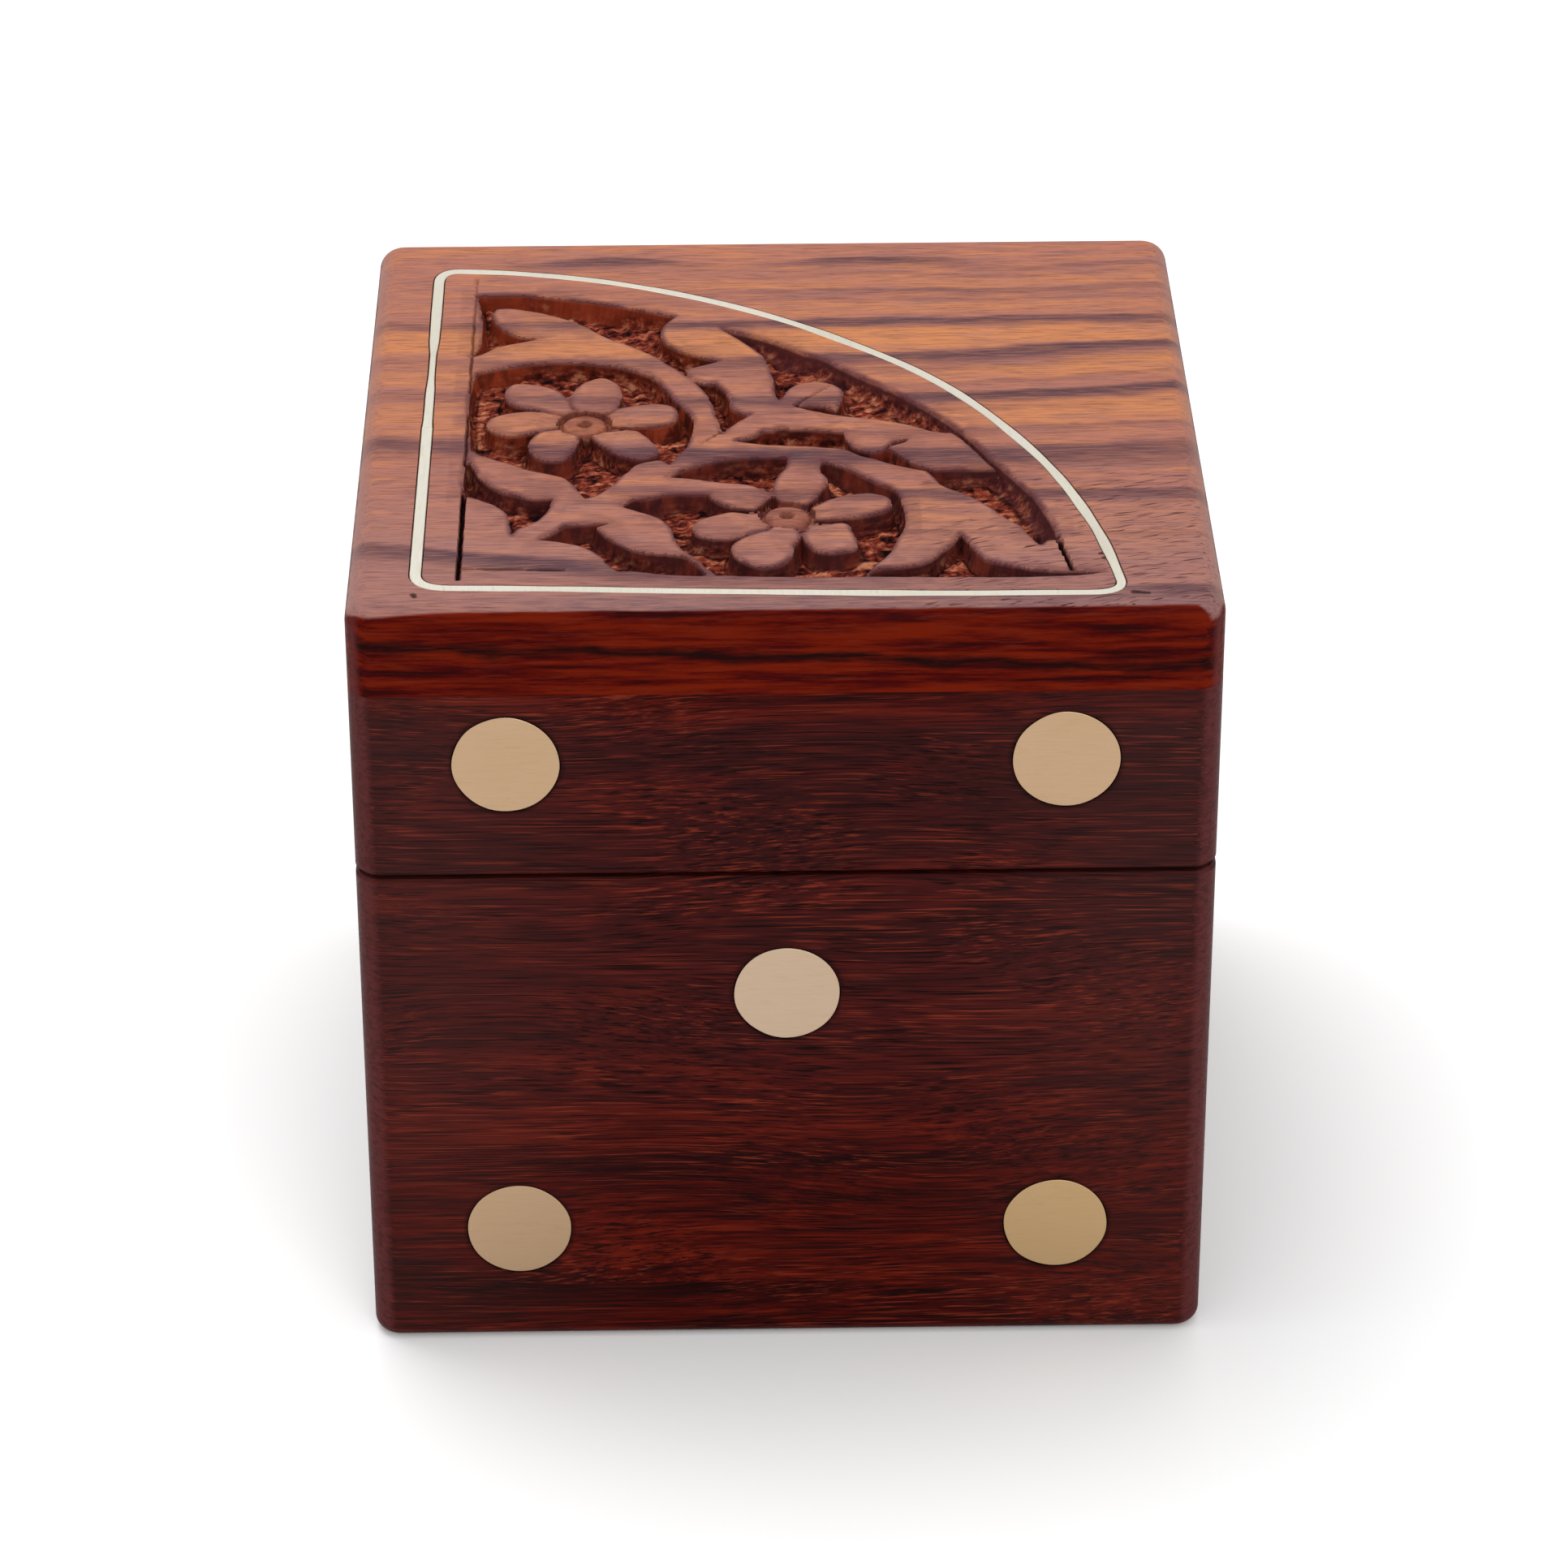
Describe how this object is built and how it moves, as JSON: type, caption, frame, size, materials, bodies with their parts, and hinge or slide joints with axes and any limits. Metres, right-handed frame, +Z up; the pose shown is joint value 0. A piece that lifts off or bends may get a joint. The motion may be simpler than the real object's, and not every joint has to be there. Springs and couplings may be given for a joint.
{
  "type": "dice box with hinged lid",
  "caption": "Small hardwood cube box styled as a die, with inlaid brass pips, a carved floral lid panel inside a brass strip, and a lid on two knuckled butt hinges.",
  "frame": {"origin": "middle of the square underside of the wooden box; the hinge barrels stand out behind it", "axes": "+Z up, +Y to the hinge side, -Y to the front face with the full five pips, +X to the right as seen from the front"},
  "size_m": [0.0636, 0.0655, 0.0635],
  "materials": {
    "rosewood": "oiled, low sheen",
    "brass_inlay": "satin, sanded flush",
    "brass_hardware": "satin"
  },
  "bodies": {
    "base": {"base_back_pip_bottom_left": "brass_inlay", "base_back_wall": "rosewood", "base_floor_board": "rosewood", "base_front_pip_bottom_left": "brass_inlay", "base_front_pip_bottom_right": "brass_inlay", "base_front_pip_centre": "brass_inlay", "base_front_wall": "rosewood", "base_hinge_leaf_left": "brass_hardware", "base_hinge_leaf_right": "brass_hardware", "base_hinge_nails_left": "brass_hardware", "base_hinge_nails_right": "brass_hardware", "base_left_pip_bottom_left": "brass_inlay", "base_left_pip_bottom_right": "brass_inlay", "base_left_wall": "rosewood", "base_right_pip_bottom_right": "brass_inlay", "base_right_pip_centre": "brass_inlay", "base_right_wall": "rosewood", "hinge_pin_left": "brass_hardware", "hinge_pin_right": "brass_hardware"},
    "lid": {"brass_strip_filler": "brass_inlay", "brass_strip_long": "brass_inlay", "lid_back_pip_top_right": "brass_inlay", "lid_back_rail": "rosewood", "lid_front_pip_top_left": "brass_inlay", "lid_front_pip_top_right": "brass_inlay", "lid_front_rail": "rosewood", "lid_hinge_leaf_left": "brass_hardware", "lid_hinge_leaf_right": "brass_hardware", "lid_hinge_nails_left": "brass_hardware", "lid_hinge_nails_right": "brass_hardware", "lid_left_pip_top_left": "brass_inlay", "lid_left_pip_top_right": "brass_inlay", "lid_left_rail": "rosewood", "lid_right_pip_top_left": "brass_inlay", "lid_right_rail": "rosewood", "lid_top_board": "rosewood"}
  },
  "joints": [
    {"name": "lid_hinge", "type": "hinge", "parent": "base", "child": "lid", "pos_m": [0, 0.03235, 0.04125], "axis": [-1, 0, 0], "range_deg": [0, 180]}
  ]
}
